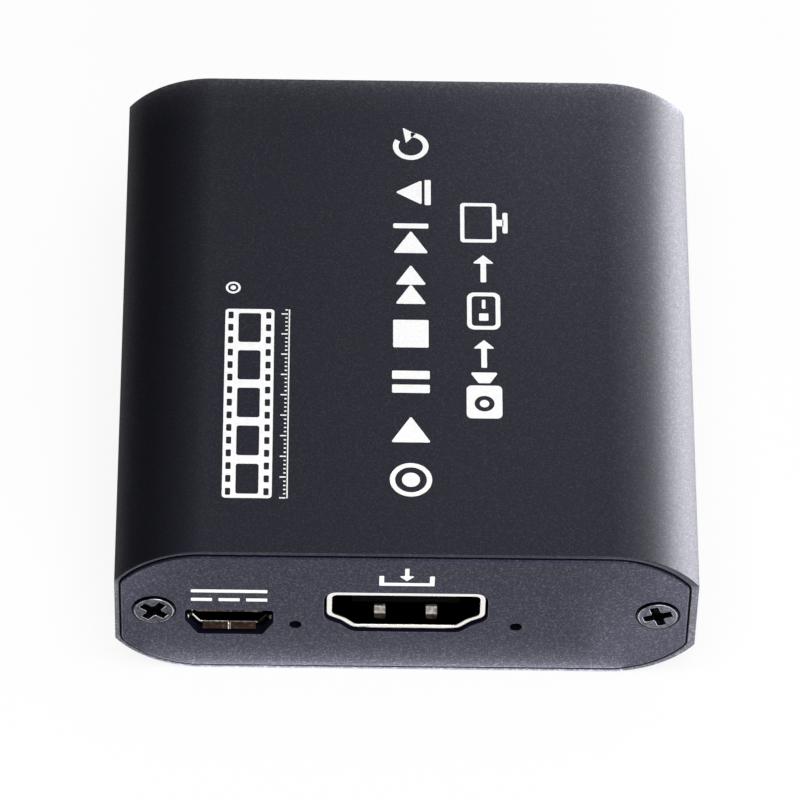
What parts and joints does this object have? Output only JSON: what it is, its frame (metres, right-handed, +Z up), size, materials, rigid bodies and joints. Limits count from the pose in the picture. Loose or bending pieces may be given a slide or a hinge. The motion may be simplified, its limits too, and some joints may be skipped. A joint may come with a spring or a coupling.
{
  "type": "video capture box",
  "caption": "Small flat extruded metal box with sunk screwed end plates, video input and loop-output sockets, a micro power socket and a flat data socket on an inner circuit board.",
  "frame": {"origin": "middle of the underside, on the surface that the box stands on", "axes": "+X to the right of the front plate seen from the front, +Y from the front plate to the back plate along the tube, +Z up"},
  "size_m": [0.055, 0.0594, 0.018],
  "materials": {
    "tube_black": "bead-blasted black anodised",
    "plate_black": "bead-blasted black anodised",
    "screw_steel": "black zinc",
    "shell_nickel": "nickel-plated sheet",
    "insulator_black": "moulded",
    "contact_gold": "gold-flashed",
    "board_mask": "solder mask over glass laminate",
    "chip_mould": "moulded epoxy",
    "lead_tin": "tin-plated",
    "drawn_can": "drawn metal can",
    "ferrite": "pressed ferrite",
    "indicator_resin": "clear resin on a white body",
    "ceramic_brown": "fired ceramic",
    "resistor_black": "glazed"
  },
  "bodies": {
    "root": {"housing": "tube_black", "front_plate": "plate_black", "rear_plate": "plate_black", "front_screws": "screw_steel", "rear_screws": "screw_steel", "main_board": "board_mask", "video_in_shell": "shell_nickel", "video_in_insulator": "insulator_black", "video_in_contacts": "contact_gold", "video_out_shell": "shell_nickel", "video_out_insulator": "insulator_black", "video_out_contacts": "contact_gold", "data_shell": "shell_nickel", "data_insulator": "insulator_black", "data_contacts": "contact_gold", "power_shell": "shell_nickel", "power_insulator": "insulator_black", "power_contacts": "contact_gold", "power_indicator": "indicator_resin", "signal_indicator": "indicator_resin", "capture_chip": "chip_mould", "capture_chip_leads": "lead_tin", "repeater_chip": "chip_mould", "repeater_chip_leads": "lead_tin", "memory_chip": "chip_mould", "memory_chip_leads": "lead_tin", "core_regulator": "chip_mould", "io_regulator": "chip_mould", "regulator_leads": "lead_tin", "capture_crystal": "drawn_can", "repeater_crystal": "drawn_can", "bulk_capacitor_can": "drawn_can", "bulk_capacitor_base": "insulator_black", "power_inductor": "ferrite", "input_diode": "chip_mould", "surge_arrays": "chip_mould", "chip_capacitors": "ceramic_brown", "chip_resistors": "resistor_black", "chip_terminals": "lead_tin"}
  },
  "joints": []
}
